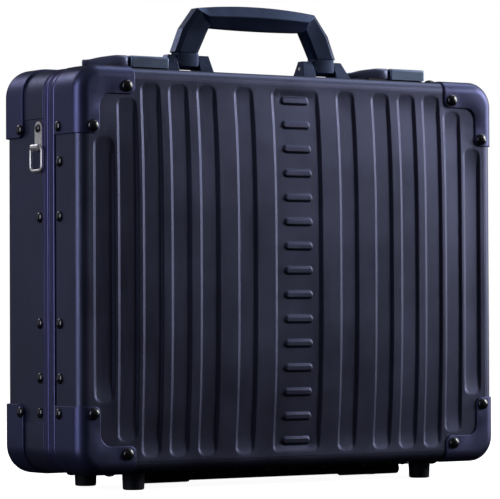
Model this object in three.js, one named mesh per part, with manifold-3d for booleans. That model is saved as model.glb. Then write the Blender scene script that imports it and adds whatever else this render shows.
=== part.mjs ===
// An aluminium attache case, standing on its hinge side: two pressed shells with stamped channels,
// extruded rails, corner guards, a folding handle, two combination latches, strap rings and feet.
// Millimetres, +Z up. X runs along the case, -Y is the lid's face, and the feet stand on Z = 0.
import * as THREE from "three";
import { mergeVertices } from "three/addons/utils/BufferGeometryUtils.js";
import Module from "manifold-3d";

const wasm = await Module();
wasm.setup();

// Driving dimensions
const WIDTH = 454;
const HEIGHT = 352;
const LID = {
  depth: 50.3, rail: 10.3, proud: 1.5, guardReach: 50.3, footY: -25.8,
  rowY: -18.5, guardRowY: -18.5, endRivets: [94, 46.4, -46.4, -94],
};
const BASE = {
  depth: 75.6, rail: 8.6, proud: 3, guardReach: 34.1, footY: -54.7,
  rowY: -15.2, guardRowY: -45, endRivets: [46.4, -46.4, -94, -124.4],
};
const PART_Y = -9.7; // the plane where the lid meets the base
const FOOT_HEIGHT = 16;
const CORNER_R = 22; // outline corners
const EDGE_R = 9.5; // edge between a face and its side walls
const SKIN = 1.2; // sheet thickness
const GAP = 0.3; // between parts that touch
const CENTRE_Z = FOOT_HEIGHT + HEIGHT / 2;
const TOP = HEIGHT / 2; // above the centre
const RAIL_PROUD = 0.8;
const OVER_RAIL = TOP + RAIL_PROUD + GAP; // what sits on the rails starts here

// Stamped channels: each has the same width, and the ridges between them narrow outwards
const CHANNEL_WIDTH = 17.8;
const CHANNEL_DEPTH = 1.6;
const CHANNELS = [
  { start: 46.9, reach: 161.2 },
  { start: 86.6, reach: 161.2 },
  { start: 116.4, reach: 161.2 },
  { start: 145.1, reach: 161.2 },
  { start: 169.4, reach: 146.6 },
  { start: 193, reach: 112.2 },
];
const LADDER_HALF = 24.5; // the middle channel, which holds the short bars
const BAR = { halfLength: 14.6, halfHeight: 2.9, pitch: 21.79, count: 15 };

// Materials
const paint = (color, roughness, metalness) => new THREE.MeshStandardMaterial({ color, roughness, metalness });
const SHELL = paint(0x2e3148, 0.45, 0.7);
const RAIL = paint(0x2d2c56, 0.35, 0.8);
const GUARD = paint(0x32344f, 0.4, 0.6);
const GRIP = paint(0x1f2a40, 0.5, 0);
const LATCH = paint(0x33415f, 0.4, 0.5);
const DARK = paint(0x15161c, 0.5, 0.5);
const STEEL = paint(0xb9b7b0, 0.25, 1);
const RUBBER = paint(0x14161f, 0.7, 0);
const LINING = paint(0x2a2b33, 0.9, 0);

// A closed three.js geometry as a solid for joining and cutting
function solid(geometry) {
  const bare = geometry.index ? geometry.toNonIndexed() : geometry;
  const merged = mergeVertices(
    new THREE.BufferGeometry().setAttribute("position", bare.getAttribute("position")), 1e-4);
  return new wasm.Manifold(new wasm.Mesh({
    numProp: 3,
    vertProperties: merged.attributes.position.array,
    triVerts: new Uint32Array(merged.index.array),
  }));
}

// A named mesh made of a finished solid
function piece(name, body, material, parent) {
  const made = body.getMesh();
  const geometry = new THREE.BufferGeometry()
    .setAttribute("position", new THREE.BufferAttribute(new Float32Array(made.vertProperties), 3))
    .setIndex(new THREE.BufferAttribute(made.triVerts, 1));
  geometry.computeVertexNormals();
  const mesh = new THREE.Mesh(geometry, material);
  mesh.name = name;
  parent.add(mesh);
  return mesh;
}

const box = (x0, x1, y0, y1, z0, z1) =>
  solid(new THREE.BoxGeometry(x1 - x0, y1 - y0, z1 - z0)
    .translate((x0 + x1) / 2, (y0 + y1) / 2, (z0 + z1) / 2));

// A rod along X from x0 to x1, through (y, z)
const rod = (x0, x1, y, z, radius, sides = 12) =>
  solid(new THREE.CylinderGeometry(radius, radius, x1 - x0, sides)
    .rotateZ(Math.PI / 2)
    .translate((x0 + x1) / 2, y, z));

const polygon = (points) => new THREE.Shape(points.map(([a, b]) => new THREE.Vector2(a, b)));

// A shape drawn in X and Z, extruded from y0 to y1, with both of its rims rounded by `round`
const alongY = (shape, y0, y1, round = 0) =>
  solid(new THREE.ExtrudeGeometry(shape, {
    depth: y1 - y0 - 2 * round,
    bevelEnabled: round > 0,
    bevelThickness: round,
    bevelSize: round,
    bevelOffset: -round,
    bevelSegments: 3,
    curveSegments: 3,
  }).rotateX(Math.PI / 2).translate(0, y1 - round, 0));

// A shape drawn in Y and Z, extruded from x0 to x1
const alongX = (shape, x0, x1) =>
  solid(new THREE.ExtrudeGeometry(shape, { depth: x1 - x0, bevelEnabled: false, curveSegments: 3 })
    .rotateX(Math.PI / 2).rotateZ(Math.PI / 2).translate(x0, 0, 0));

// A shape drawn in X and Y, extruded from z0 to z1
const alongZ = (shape, z0, z1) =>
  solid(new THREE.ExtrudeGeometry(shape, { depth: z1 - z0, bevelEnabled: false, curveSegments: 6 })
    .translate(0, 0, z0));

// The case's outline, drawn in by `inset`
function outline(inset) {
  const x = WIDTH / 2 - inset;
  const z = TOP - inset;
  const r = CORNER_R - inset;
  return new THREE.Shape()
    .moveTo(x, z - r).absarc(x - r, z - r, r, 0, Math.PI / 2, false)
    .lineTo(r - x, z).absarc(r - x, z - r, r, Math.PI / 2, Math.PI, false)
    .lineTo(-x, r - z).absarc(r - x, r - z, r, Math.PI, 1.5 * Math.PI, false)
    .lineTo(x - r, -z).absarc(x - r, r - z, r, 1.5 * Math.PI, 2 * Math.PI, false);
}

// Each half is built with its open side at y = 0 and its closed face at y = -depth.
// A block that fills a half, drawn in by `inset`, from its closed face to y = open
function filling(depth, inset, open) {
  const whole = alongY(outline(inset), inset - depth, depth, EDGE_R - inset);
  return whole.intersect(box(-WIDTH, WIDTH, -2 * depth, open, -HEIGHT, HEIGHT));
}

const ring = (outer, inner, y0, y1) =>
  alongY(outline(outer), y0, y1).subtract(alongY(outline(inner), y0 - 1, y1 + 1));

// Where shell, guards and lining stop short of the rail
const railEnd = (half) => -half.rail - GAP;

// Each face swells from its flat border to the crown's height in the middle
const CROWN = { height: 6.5, cut: 0.16, columns: 12, rows: 10 };
function crownHeight(x, z) {
  const across = 1 - (x / (WIDTH / 2 - EDGE_R)) ** 4;
  const upright = 1 - Math.abs(z / (TOP - EDGE_R)) ** 3;
  return (CROWN.height * Math.max(0, across * upright - CROWN.cut)) / (1 - CROWN.cut);
}

// A crowned layer of a half's face, from `near` to `far` under the face's surface
function crowned(depth, near, far) {
  const [halfX, halfZ] = [WIDTH / 2 - EDGE_R, TOP - EDGE_R];
  const layer = new THREE.BoxGeometry(2 * halfX, far - near, 2 * halfZ, CROWN.columns, 1, CROWN.rows)
    .translate(0, (near + far) / 2 - depth, 0);
  const at = layer.getAttribute("position");
  const crowd = (t, half) => half * Math.sin((Math.PI / 2) * (t / half)); // closer together at the border
  for (let i = 0; i < at.count; i++) {
    const [x, z] = [crowd(at.getX(i), halfX), crowd(at.getZ(i), halfZ)];
    at.setXYZ(i, x, at.getY(i) - crownHeight(x, z), z);
  }
  return solid(layer);
}

const joined = (bodies) => bodies.reduce((all, body) => all.add(body));

function shell(half) {
  const { depth } = half;
  const under = 0.05; // how far the crowned layer's border lies under the flat one
  const face = crowned(depth, under, SKIN + under).intersect(alongY(outline(EDGE_R), -2 * depth, 0));
  let body = filling(depth, 0, railEnd(half)).subtract(filling(depth, SKIN, 1))
    .subtract(alongY(outline(EDGE_R + 1), -2 * depth, 2 * SKIN - depth)).add(face);
  const channels = [{ x0: -LADDER_HALF, x1: LADDER_HALF, reach: CHANNELS[0].reach }];
  for (const { start, reach } of CHANNELS) {
    channels.push({ x0: start, x1: start + CHANNEL_WIDTH, reach });
    channels.push({ x0: -start - CHANNEL_WIDTH, x1: -start, reach });
  }
  const column = (x0, x1, z0, z1) => box(x0, x1, -2 * depth, 0, z0, z1);
  const backs = channels.map(({ x0, x1, reach }) => column(x0 - SKIN, x1 + SKIN, -reach - SKIN, reach + SKIN));
  const hollows = channels.map(({ x0, x1, reach }) => column(x0, x1, -reach, reach));
  const bars = [];
  for (let i = 0; i < BAR.count; i++) {
    const z = (i - (BAR.count - 1) / 2) * BAR.pitch;
    bars.push(column(-BAR.halfLength, BAR.halfLength, z - BAR.halfHeight, z + BAR.halfHeight));
  }
  body = body.add(joined(backs).intersect(crowned(depth, SKIN / 2, CHANNEL_DEPTH + SKIN)))
    .subtract(joined(hollows).intersect(crowned(depth, -3, CHANNEL_DEPTH)))
    .add(joined(bars).intersect(crowned(depth, 0.2, CHANNEL_DEPTH + SKIN / 2)));
  for (const z of half.endRivets) {
    for (const side of [-1, 1]) {
      body = body.add(rivetOnEnd(RIVET.sideR, side, WIDTH / 2, half.rowY, z));
    }
  }
  return body;
}

// A domed rivet head that stands along +Y on its seat at y = 0
const RIVET = { faceR: 5, sideR: 4.5, tabR: 3.4 };
function rivet(radius) {
  const profile = [[0, -0.6], [radius, -0.6], [radius, 0.5], [radius * 0.65, 2.1], [0, 2.8]];
  return new THREE.LatheGeometry(profile.map(([x, y]) => new THREE.Vector2(x, y)), 10);
}
const rivetOnEnd = (radius, side, seat, y, z) =>
  solid(rivet(radius).rotateZ(-side * Math.PI / 2).translate(side * seat, y, z));

// The extruded rail: a bar with an inner flange under the shell's edge, which the rivets go through
const TONGUE = { outer: 4, inner: 6.4, height: 2.4 };
const FLANGE_REACH = 24;
function rail(half, hasTongue) {
  const bar = ring(-RAIL_PROUD, 8.6, -half.rail, -GAP / 2)
    .add(ring(SKIN + GAP, 3, -FLANGE_REACH, 1 - half.rail));
  if (hasTongue) return bar.add(ring(TONGUE.outer, TONGUE.inner, -1, TONGUE.height));
  const clear = 0.5;
  return bar.subtract(ring(TONGUE.outer - clear, TONGUE.inner + clear, -TONGUE.height - clear, 1));
}

// A moulded guard over the corner at +X +Z: two arms with a hollow curve between them
const GUARD_ARM = { x: 171, z: 118 }; // where the arms end
const GUARD_NOTCH = { x: 207, z: 153, r: 12 }; // the arms' inner edges and the curve between them
const GUARD_TIP_R = 5;
const GUARD_RIVETS = [{ x: 178.6, z: 159.4 }, { x: 213, z: 123.9 }];
function guardOutline() {
  const { x, z, r } = GUARD_NOTCH;
  const tip = GUARD_TIP_R;
  return new THREE.Shape()
    .moveTo(WIDTH, GUARD_ARM.z)
    .lineTo(WIDTH, HEIGHT)
    .lineTo(GUARD_ARM.x, HEIGHT)
    .lineTo(GUARD_ARM.x, z + tip)
    .absarc(GUARD_ARM.x + tip, z + tip, tip, Math.PI, 1.5 * Math.PI, false)
    .lineTo(x - r, z)
    .absarc(x - r, z - r, r, Math.PI / 2, 0, true)
    .lineTo(x, GUARD_ARM.z + tip)
    .absarc(x + tip, GUARD_ARM.z + tip, tip, Math.PI, 1.5 * Math.PI, false);
}

function guard(half) {
  const { depth, proud } = half;
  const start = Math.min(railEnd(half), half.guardReach - depth);
  const skin = filling(depth, -proud, start).subtract(filling(depth, -GAP, 1));
  let body = skin.intersect(alongY(guardOutline(), -depth - EDGE_R, start));
  for (const { x, z } of GUARD_RIVETS) {
    const seat = -depth - proud;
    body = body.add(solid(rivet(RIVET.faceR).rotateX(Math.PI).translate(x, seat, z)));
  }
  const onTop = solid(rivet(RIVET.sideR).rotateX(Math.PI / 2)
    .translate(177.5, half.guardRowY, TOP + proud));
  return body.add(onTop).add(rivetOnEnd(RIVET.sideR, 1, WIDTH / 2 + proud, half.guardRowY, 124.4));
}

// A thinner corner cover between the guard and the rail of the deep half
const COVER_LEG = 43;
function cornerCover(half) {
  const { depth, guardReach } = half;
  const skin = filling(depth, -GAP - 0.7, railEnd(half)).subtract(filling(depth, -GAP, 1));
  return skin.intersect(box(WIDTH / 2 - COVER_LEG, WIDTH, guardReach - depth + GAP, 0, TOP - COVER_LEG, HEIGHT));
}

const LINING_INSET = 3.4;
const LINING_T = 1.5;
const lining = (half) =>
  filling(half.depth, LINING_INSET, railEnd(half)).subtract(filling(half.depth, LINING_INSET + LINING_T, 1));

const FOOT = { x: 157.3, topR: 10.5, bottomR: 9.5 };
const foot = () => solid(new THREE.LatheGeometry(
  [[0, 0], [FOOT.bottomR - 1, 0], [FOOT.bottomR, 1], [FOOT.topR, FOOT_HEIGHT - GAP], [0, FOOT_HEIGHT - GAP]]
    .map(([r, z]) => new THREE.Vector2(r, z)), 16)
  .rotateX(Math.PI / 2).translate(FOOT.x, 0, -TOP - FOOT_HEIGHT));

const root = new THREE.Group();
const stand = new THREE.Group(); // everything is placed from the centre of the shells
stand.position.z = CENTRE_Z;
stand.position.y = -PART_Y - (BASE.depth - LID.depth) / 2; // Y = 0 is the middle
root.add(stand);

// Both halves. The base is the mirror image of the lid's construction, and deeper.
const PAD = { x: 200, z: 150, thickness: 8 };
for (const { name, half, side } of [{ name: "lid", half: LID, side: 1 }, { name: "base", half: BASE, side: -1 }]) {
  const group = new THREE.Group();
  group.position.y = PART_Y;
  group.scale.y = side;
  stand.add(group);
  piece(name + "_shell", shell(half), SHELL, group);
  piece(name + "_rail", rail(half, name === "base"), RAIL, group);
  piece(name + "_lining", lining(half), LINING, group);
  const floor = LINING_INSET + LINING_T + GAP - half.depth;
  piece(name + "_pad", box(-PAD.x, PAD.x, floor, floor + PAD.thickness, -PAD.z, PAD.z), LINING, group);
  const guardBody = guard(half);
  for (const [where, sx, sz] of [
    ["top_left", -1, 1], ["top_right", 1, 1], ["bottom_left", -1, -1], ["bottom_right", 1, -1],
  ]) {
    piece(name + "_guard_" + where, guardBody, GUARD, group).scale.set(sx, 1, sz);
    if (name === "base") {
      piece("base_corner_cover_" + where, cornerCover(half), SHELL, group).scale.set(sx, 1, sz);
    }
  }
  for (const [where, sx] of [["left", -1], ["right", 1]]) {
    const made = piece(name + "_foot_" + where, foot(), RUBBER, group);
    made.position.y = half.footY;
    made.scale.x = sx;
  }
}

// The hinge: two leaves whose knuckles share one pin, with stouter knuckles at both ends
const HINGE = { z: -TOP - 7.7, leafHalf: 145, leafTop: -TOP - RAIL_PROUD - GAP, leafT: 1.3, pinR: 1.5, holeR: 1.8 };
const KNUCKLES = [];
for (let i = 0; i < 7; i++) KNUCKLES.push({ x: -84 + i * 24, length: 24, r: 3.6, lid: i % 2 === 1 });
for (const side of [-1, 1]) {
  for (let i = 0; i < 3; i++) {
    const x = side > 0 ? 84 + i * 22 : -84 - (i + 1) * 22;
    KNUCKLES.push({ x, length: 22, r: 5, lid: i % 2 === 0 });
  }
}
function leaf(forLid, reach) {
  const span = (near, far) => (forLid ? [PART_Y - far, PART_Y - near] : [PART_Y + near, PART_Y + far]);
  const bottom = HINGE.leafTop - HINGE.leafT;
  let body = box(-HINGE.leafHalf, HINGE.leafHalf, ...span(GAP / 2, reach), bottom, HINGE.leafTop);
  for (const k of KNUCKLES.filter((one) => one.lid === forLid)) {
    const x0 = k.x + GAP / 2;
    const x1 = k.x + k.length - GAP / 2;
    const webEnd = Math.min(k.r, 4);
    body = body.add(rod(x0, x1, PART_Y, HINGE.z, k.r))
      .add(box(x0, x1, ...span(GAP / 2, webEnd), HINGE.z, bottom + 0.5));
  }
  return body.subtract(rod(-WIDTH / 2, WIDTH / 2, PART_Y, HINGE.z, HINGE.holeR));
}
piece("hinge_leaf_lid", leaf(true, 33), DARK, stand);
piece("hinge_leaf_base", leaf(false, 33), DARK, stand);
piece("hinge_pin", rod(-151, 151, PART_Y, HINGE.z, HINGE.pinR), STEEL, stand);

// The handle, its two brackets and their pivot pins
const PIVOT = { y: 5, z: TOP + 12, pinR: 1.8, holeR: 2.1 };
const LEG = { inner: 64.3, outer: 86.5, halfT: 6.5 };
function bracket() {
  const bottom = OVER_RAIL;
  const floor = OVER_RAIL + 2.4;
  const lugTop = TOP + 19;
  const front = polygon([
    [49.5, bottom], [103.4, bottom], [103.4, floor], [95.8, lugTop], [LEG.outer + 0.5, lugTop],
    [LEG.outer + 0.5, floor], [LEG.inner - 0.5, floor], [LEG.inner - 0.5, lugTop], [52.4, lugTop],
  ]);
  const side = polygon([
    [PIVOT.y - 9.5, bottom], [PIVOT.y + 9.5, bottom], [PIVOT.y + 9.5, floor],
    [PIVOT.y + 4, lugTop], [PIVOT.y - 4, lugTop], [PIVOT.y - 9.5, floor],
  ]);
  return alongY(front, PIVOT.y - 10, PIVOT.y + 10).intersect(alongX(side, 45, 105))
    .subtract(rod(45, 105, PIVOT.y, PIVOT.z, PIVOT.holeR, 8));
}
for (const [where, sx] of [["left", -1], ["right", 1]]) {
  piece("handle_bracket_" + where, bracket(), GRIP, stand).scale.x = sx;
  piece("handle_pin_" + where, rod(51, 99.5, PIVOT.y, PIVOT.z, PIVOT.pinR, 8), STEEL, stand).scale.x = sx;
}
function handle() {
  const shoulder = TOP + 22.4;
  const bow = new THREE.Shape()
    .moveTo(LEG.outer, PIVOT.z).lineTo(LEG.outer, TOP + 21).lineTo(89.3, shoulder)
    .lineTo(80.2, TOP + 43).lineTo(64.8, TOP + 62)
    .quadraticCurveTo(0, TOP + 70, -64.8, TOP + 62)
    .lineTo(-80.2, TOP + 43).lineTo(-89.3, shoulder).lineTo(-LEG.outer, TOP + 21).lineTo(-LEG.outer, PIVOT.z)
    .lineTo(-LEG.inner, PIVOT.z).lineTo(-LEG.inner, TOP + 21).lineTo(-61.2, shoulder).lineTo(-51.7, TOP + 46)
    .lineTo(51.7, TOP + 46).lineTo(61.2, shoulder).lineTo(LEG.inner, TOP + 21).lineTo(LEG.inner, PIVOT.z);
  const grip = polygon([
    [PIVOT.y - 7, TOP + 45.2], [PIVOT.y + 7, TOP + 45.2], [PIVOT.y + 11, TOP + 55],
    [PIVOT.y + 5, TOP + 63], [PIVOT.y - 5, TOP + 63], [PIVOT.y - 11, TOP + 55],
  ]);
  let body = alongY(bow, PIVOT.y - LEG.halfT, PIVOT.y + LEG.halfT, 1.5).add(alongX(grip, -57, 57));
  for (const [x0, x1] of [[LEG.inner, LEG.outer], [-LEG.outer, -LEG.inner]]) {
    body = body.add(rod(x0, x1, PIVOT.y, PIVOT.z, LEG.halfT, 16));
  }
  return body.subtract(rod(-WIDTH, WIDTH, PIVOT.y, PIVOT.z, PIVOT.holeR));
}
piece("handle", handle(), GRIP, stand);

// A combination latch, drawn from its thin end at x = 0 to its square end at x = LATCH_LENGTH
const LATCH_LENGTH = 80;
const PLATE_TOP = OVER_RAIL + 3.4;
const COVER_BOTTOM = PLATE_TOP + GAP;
const COVER_TOP = TOP + 15;
const LEVER = { end: 39.6, axisY: 7.5, axisZ: TOP + 9, pinR: 1.2, holeR: 1.5, back: 10.5 };
const EARS = [[18, 21], [31, 34]];
const HOUSING = { start: 40.6, front: -12.5, back: 11, wall: 1.5 };
const DIAL = { r: 5.2, width: 4.6, y: -4.6, z: TOP + 10.3, holeR: 1.3, axleR: 1, xs: [51, 57.5, 64] };
const BUTTON = { x0: 54, x1: 64, y: 5.3, half: 2.6, travel: 4, lip: 1 }; // the lip stays under the cover

function latchPlate() {
  let body = box(0.5, LATCH_LENGTH - 0.5, PART_Y + GAP, HOUSING.back, OVER_RAIL, PLATE_TOP);
  for (const [x0, x1] of EARS) {
    body = body.add(box(x0, x1, LEVER.axisY - 2.5, LEVER.axisY + 2.5, PLATE_TOP - 1, LEVER.axisZ + 2.5));
  }
  return body.subtract(rod(10, 40, LEVER.axisY, LEVER.axisZ, LEVER.holeR, 8));
}

function latchLever() {
  const wing = new THREE.Shape()
    .moveTo(0, 5.5).lineTo(0, 0.5)
    .bezierCurveTo(14, -2, 19, -14.5, 33, -14.5)
    .lineTo(LEVER.end, -13)
    .lineTo(LEVER.end, LEVER.back)
    .bezierCurveTo(28, LEVER.back, 6, LEVER.back, 0, 5.5);
  const profile = polygon([
    [-1, COVER_BOTTOM + 0.4], [LEVER.end + 1, COVER_BOTTOM + 0.4], [LEVER.end + 1, COVER_TOP],
    [30, COVER_TOP], [-1, TOP + 10],
  ]);
  let body = alongZ(wing, COVER_BOTTOM, COVER_TOP).intersect(alongY(profile, -30, 30))
    .subtract(box(-1, LEVER.end + 1, LEVER.axisY - 1.5, 20, COVER_BOTTOM - 1, LEVER.axisZ - 2));
  for (const [x0, x1] of EARS) {
    body = body.subtract(box(x0 - 0.5, x1 + 0.5, LEVER.axisY - 4.6, 20, COVER_BOTTOM - 1, LEVER.axisZ + 4.6));
  }
  return body.subtract(rod(10, LEVER.end + 1, LEVER.axisY, LEVER.axisZ, LEVER.holeR, 8));
}

function latchHousing() {
  const { start, front, back, wall } = HOUSING;
  const end = LATCH_LENGTH;
  let body = box(start, end, front, back, COVER_BOTTOM, COVER_TOP)
    .subtract(box(start + wall, end - wall, front + wall, back - wall, COVER_BOTTOM - 1, COVER_TOP - wall));
  for (const x of DIAL.xs) {
    body = body.subtract(box(x - 2.6, x + 2.6, DIAL.y - 4.7, DIAL.y + 4.7, COVER_TOP - 2, COVER_TOP + 1));
  }
  const { x0, x1, y, half, travel } = BUTTON;
  return body.subtract(box(x0 - GAP, x1 + travel + GAP, y - half - GAP, y + half + GAP, COVER_TOP - 2, COVER_TOP + 1));
}

const dial = (x) => rod(x - DIAL.width / 2, x + DIAL.width / 2, DIAL.y, DIAL.z, DIAL.r, 10)
  .subtract(rod(x - DIAL.width, x + DIAL.width, DIAL.y, DIAL.z, DIAL.holeR, 8));

function button() {
  const { x0, x1, y, half, lip } = BUTTON;
  const under = COVER_TOP - HOUSING.wall - GAP;
  return box(x0, x1, y - half, y + half, under - 1, COVER_TOP + 0.5)
    .add(box(x0 - lip, x1 + lip, y - half - lip, y + half + lip, under - 1.2, under));
}

for (const [where, x] of [["left", -183.8], ["right", 103.8]]) {
  const group = new THREE.Group();
  group.position.x = x;
  stand.add(group);
  piece("latch_plate_" + where, latchPlate(), DARK, group);
  piece("latch_lever_" + where, latchLever(), LATCH, group);
  piece("latch_lever_pin_" + where, rod(16, 38, LEVER.axisY, LEVER.axisZ, LEVER.pinR, 8), STEEL, group);
  piece("latch_housing_" + where, latchHousing(), LATCH, group);
  const axle = rod(HOUSING.start + HOUSING.wall + GAP, LATCH_LENGTH - HOUSING.wall - GAP, DIAL.y, DIAL.z, DIAL.axleR, 8);
  piece("dial_axle_" + where, axle, STEEL, group);
  DIAL.xs.forEach((dx, i) => piece(`dial_${where}_${i + 1}`, dial(dx), DARK, group));
  piece("release_button_" + where, button(), LATCH, group);
  piece("latch_strike_" + where, box(11, 31, -17, PART_Y - 0.6, OVER_RAIL, PLATE_TOP), STEEL, group);
}

// Strap rings: a riveted tab with a loop, and a wire ring that hangs in it
const TAB = { y: 5.3, halfWidth: 6.1, rivetZ: 124.3, loopZ: 107.8, t: 1.2 };
const RING = { halfWidth: 9.5, height: 20.5, wireR: 1.4 };
const LOOP = { outer: 3.1, inner: 1.8 };
const TAB_X = WIDTH / 2 + 2 * GAP; // the tab's back
const LOOP_X = TAB_X + LOOP.outer;
function tab() {
  const strap = new THREE.Shape()
    .moveTo(TAB.y - TAB.halfWidth, TAB.loopZ + 1).lineTo(TAB.y + TAB.halfWidth, TAB.loopZ + 1)
    .lineTo(TAB.y + TAB.halfWidth, TAB.rivetZ)
    .absarc(TAB.y, TAB.rivetZ, TAB.halfWidth, 0, Math.PI, false);
  const roll = (r) => solid(new THREE.CylinderGeometry(r, r, 2 * TAB.halfWidth, 16)
    .translate(LOOP_X, TAB.y, TAB.loopZ));
  const barHole = solid(new THREE.CylinderGeometry(LOOP.inner, LOOP.inner, 40, 16)
    .translate(LOOP_X, TAB.y, TAB.loopZ));
  return alongX(strap, TAB_X, TAB_X + TAB.t).add(roll(LOOP.outer)).subtract(barHole)
    .add(rivetOnEnd(RIVET.tabR, 1, TAB_X + TAB.t, TAB.y, TAB.rivetZ));
}
function wireRing() {
  const { halfWidth: w, height: h, wireR } = RING;
  const r = 4;
  const path = new THREE.CurvePath();
  const point = (y, z) => new THREE.Vector3(LOOP_X, TAB.y + y, TAB.loopZ + z);
  const corners = [[-w, 0], [w, 0], [w, -h], [-w, -h]];
  corners.forEach(([y, z], i) => {
    const before = point(...corners[(i + 3) % 4]);
    const here = point(y, z);
    const after = point(...corners[(i + 1) % 4]);
    const entry = here.clone().lerp(before, r / here.distanceTo(before));
    const exit = here.clone().lerp(after, r / here.distanceTo(after));
    path.add(new THREE.QuadraticBezierCurve3(entry, here, exit));
    const next = after.clone().lerp(here, r / here.distanceTo(after));
    path.add(new THREE.LineCurve3(exit, next));
  });
  const wire = new THREE.CatmullRomCurve3(path.curves.flatMap((c) =>
    c.isLineCurve3 ? [c.getPoint(0.1), c.getPoint(0.5), c.getPoint(0.9)] : [c.getPoint(0), c.getPoint(0.5), c.getPoint(1)]),
  true);
  const section = new THREE.Shape().absarc(0, 0, wireR, 0, 2 * Math.PI, false);
  const geometry = new THREE.ExtrudeGeometry(section, { steps: 40, extrudePath: wire, curveSegments: 4 });
  return solid(geometry);
}
for (const [where, sx] of [["left", -1], ["right", 1]]) {
  piece("strap_tab_" + where, tab(), STEEL, stand).scale.x = sx;
  piece("strap_ring_" + where, wireRing(), STEEL, stand).scale.x = sx;
}

export default root;
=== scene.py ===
"""An aluminium attache case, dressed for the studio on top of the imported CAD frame."""
from math import cos, pi, radians, sin

import bmesh
import bpy
from mathutils import Matrix, Vector
from mathutils.geometry import delaunay_2d_cdt

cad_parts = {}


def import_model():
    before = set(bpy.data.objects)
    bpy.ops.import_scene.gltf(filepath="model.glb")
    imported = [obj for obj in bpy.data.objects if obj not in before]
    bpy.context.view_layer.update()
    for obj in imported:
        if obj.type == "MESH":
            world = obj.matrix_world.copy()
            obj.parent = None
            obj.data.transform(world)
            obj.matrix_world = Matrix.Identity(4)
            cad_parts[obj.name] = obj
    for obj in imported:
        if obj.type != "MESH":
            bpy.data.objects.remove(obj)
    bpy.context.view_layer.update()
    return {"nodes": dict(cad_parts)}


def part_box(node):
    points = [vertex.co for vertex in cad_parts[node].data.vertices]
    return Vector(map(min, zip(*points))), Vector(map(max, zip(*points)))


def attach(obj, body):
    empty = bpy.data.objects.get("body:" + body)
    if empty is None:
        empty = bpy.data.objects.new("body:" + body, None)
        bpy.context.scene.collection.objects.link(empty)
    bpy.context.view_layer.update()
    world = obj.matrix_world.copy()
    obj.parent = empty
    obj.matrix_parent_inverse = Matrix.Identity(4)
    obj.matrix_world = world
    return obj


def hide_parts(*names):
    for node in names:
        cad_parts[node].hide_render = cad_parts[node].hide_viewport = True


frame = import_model()
NODES = frame["nodes"]

# Sizes in millimetres, from the CAD nodes
MM = 0.001
lid_low, lid_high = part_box("lid_rail")
PROUD = 0.8  # the rails stand this much outside the shells
HALF_W = lid_high.x / MM - PROUD
HALF_H = (lid_high.z - lid_low.z) / 2 / MM - PROUD
CENTRE_Z = (lid_high.z + lid_low.z) / 2 / MM
PART_Y = lid_high.y / MM + 0.15
CORNER_R = 22
EDGE_R = 9.5
LEFT_RIGHT = (("left", -1), ("right", 1))
CORNERS = (("top_left", -1, 1), ("top_right", 1, 1), ("bottom_left", -1, -1), ("bottom_right", 1, -1))


class Half:
    """One shell of the case, whose own y runs from 0 at the parting plane to -depth at its face.

    rail is the rail's width, and proud how far the corner guards stand outside the shell. row_y and
    guard_row_y place the side rivets, whose heights are in rivets. guard_reach is the guards' length in y.
    """

    def __init__(self, name, side, depth, rail, proud, row_y, guard_row_y, rivets, guard_reach):
        self.name, self.side, self.depth, self.rail, self.proud = name, side, depth, rail, proud
        self.row_y, self.guard_row_y, self.rivets, self.guard_reach = row_y, guard_row_y, rivets, guard_reach

    def place(self, x, y, z):
        return (x * MM, (PART_Y + self.side * y) * MM, (CENTRE_Z + z) * MM)


LID = Half("lid", 1, 50.3, 10.3, 1.5, -18.5, -18.5, (94, 46.4, -46.4, -94), 50.3)
BASE = Half("base", -1, 75.6, 8.6, 3.0, -15.2, -45, (46.4, -46.4, -94, -124.4), 34.1)


# ---------------------------------------------------------------- materials

def material(name, color, roughness, metallic=0.0, **sockets):
    """A plain surface; the extra sockets are named with _ for a space."""
    made = bpy.data.materials.new(name)
    made.use_nodes = True
    shader = made.node_tree.nodes["Principled BSDF"]
    shader.inputs["Base Color"].default_value = (*color, 1)
    shader.inputs["Roughness"].default_value = roughness
    shader.inputs["Metallic"].default_value = metallic
    for key, value in sockets.items():
        shader.inputs[key.replace("_", " ")].default_value = value
    return made


def add(mat, kind, **values):
    node = mat.node_tree.nodes.new(kind)
    for key, value in values.items():
        setattr(node, key, value)
    return node


def link(mat, source, target):
    mat.node_tree.links.new(source, target)


def shader_of(mat):
    return mat.node_tree.nodes["Principled BSDF"]


def coordinates(mat, scale=(1, 1, 1)):
    """Object coordinates in metres, stretched by scale."""
    place = add(mat, "ShaderNodeTexCoord")
    mapping = add(mat, "ShaderNodeMapping")
    mapping.inputs["Scale"].default_value = scale
    link(mat, place.outputs["Object"], mapping.inputs["Vector"])
    return mapping.outputs["Vector"]


def noise(mat, vector, scale, detail=3.0, rough=0.5):
    made = add(mat, "ShaderNodeTexNoise")
    made.inputs["Scale"].default_value = scale
    made.inputs["Detail"].default_value = detail
    made.inputs["Roughness"].default_value = rough
    link(mat, vector, made.inputs["Vector"])
    return made.outputs["Fac"]


def spread(mat, factor, low, high, position=(0.3, 0.7)):
    """Maps a noise onto a range."""
    made = add(mat, "ShaderNodeMapRange")
    made.inputs["From Min"].default_value, made.inputs["From Max"].default_value = position
    made.inputs["To Min"].default_value, made.inputs["To Max"].default_value = low, high
    link(mat, factor, made.inputs["Value"])
    return made.outputs["Result"]


def ramp(mat, factor, dark, light, position=(0.3, 0.7)):
    made = add(mat, "ShaderNodeValToRGB")
    made.color_ramp.elements[0].position, made.color_ramp.elements[1].position = position
    made.color_ramp.elements[0].color, made.color_ramp.elements[1].color = (*dark, 1), (*light, 1)
    link(mat, factor, made.inputs["Fac"])
    return made.outputs["Color"]


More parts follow.
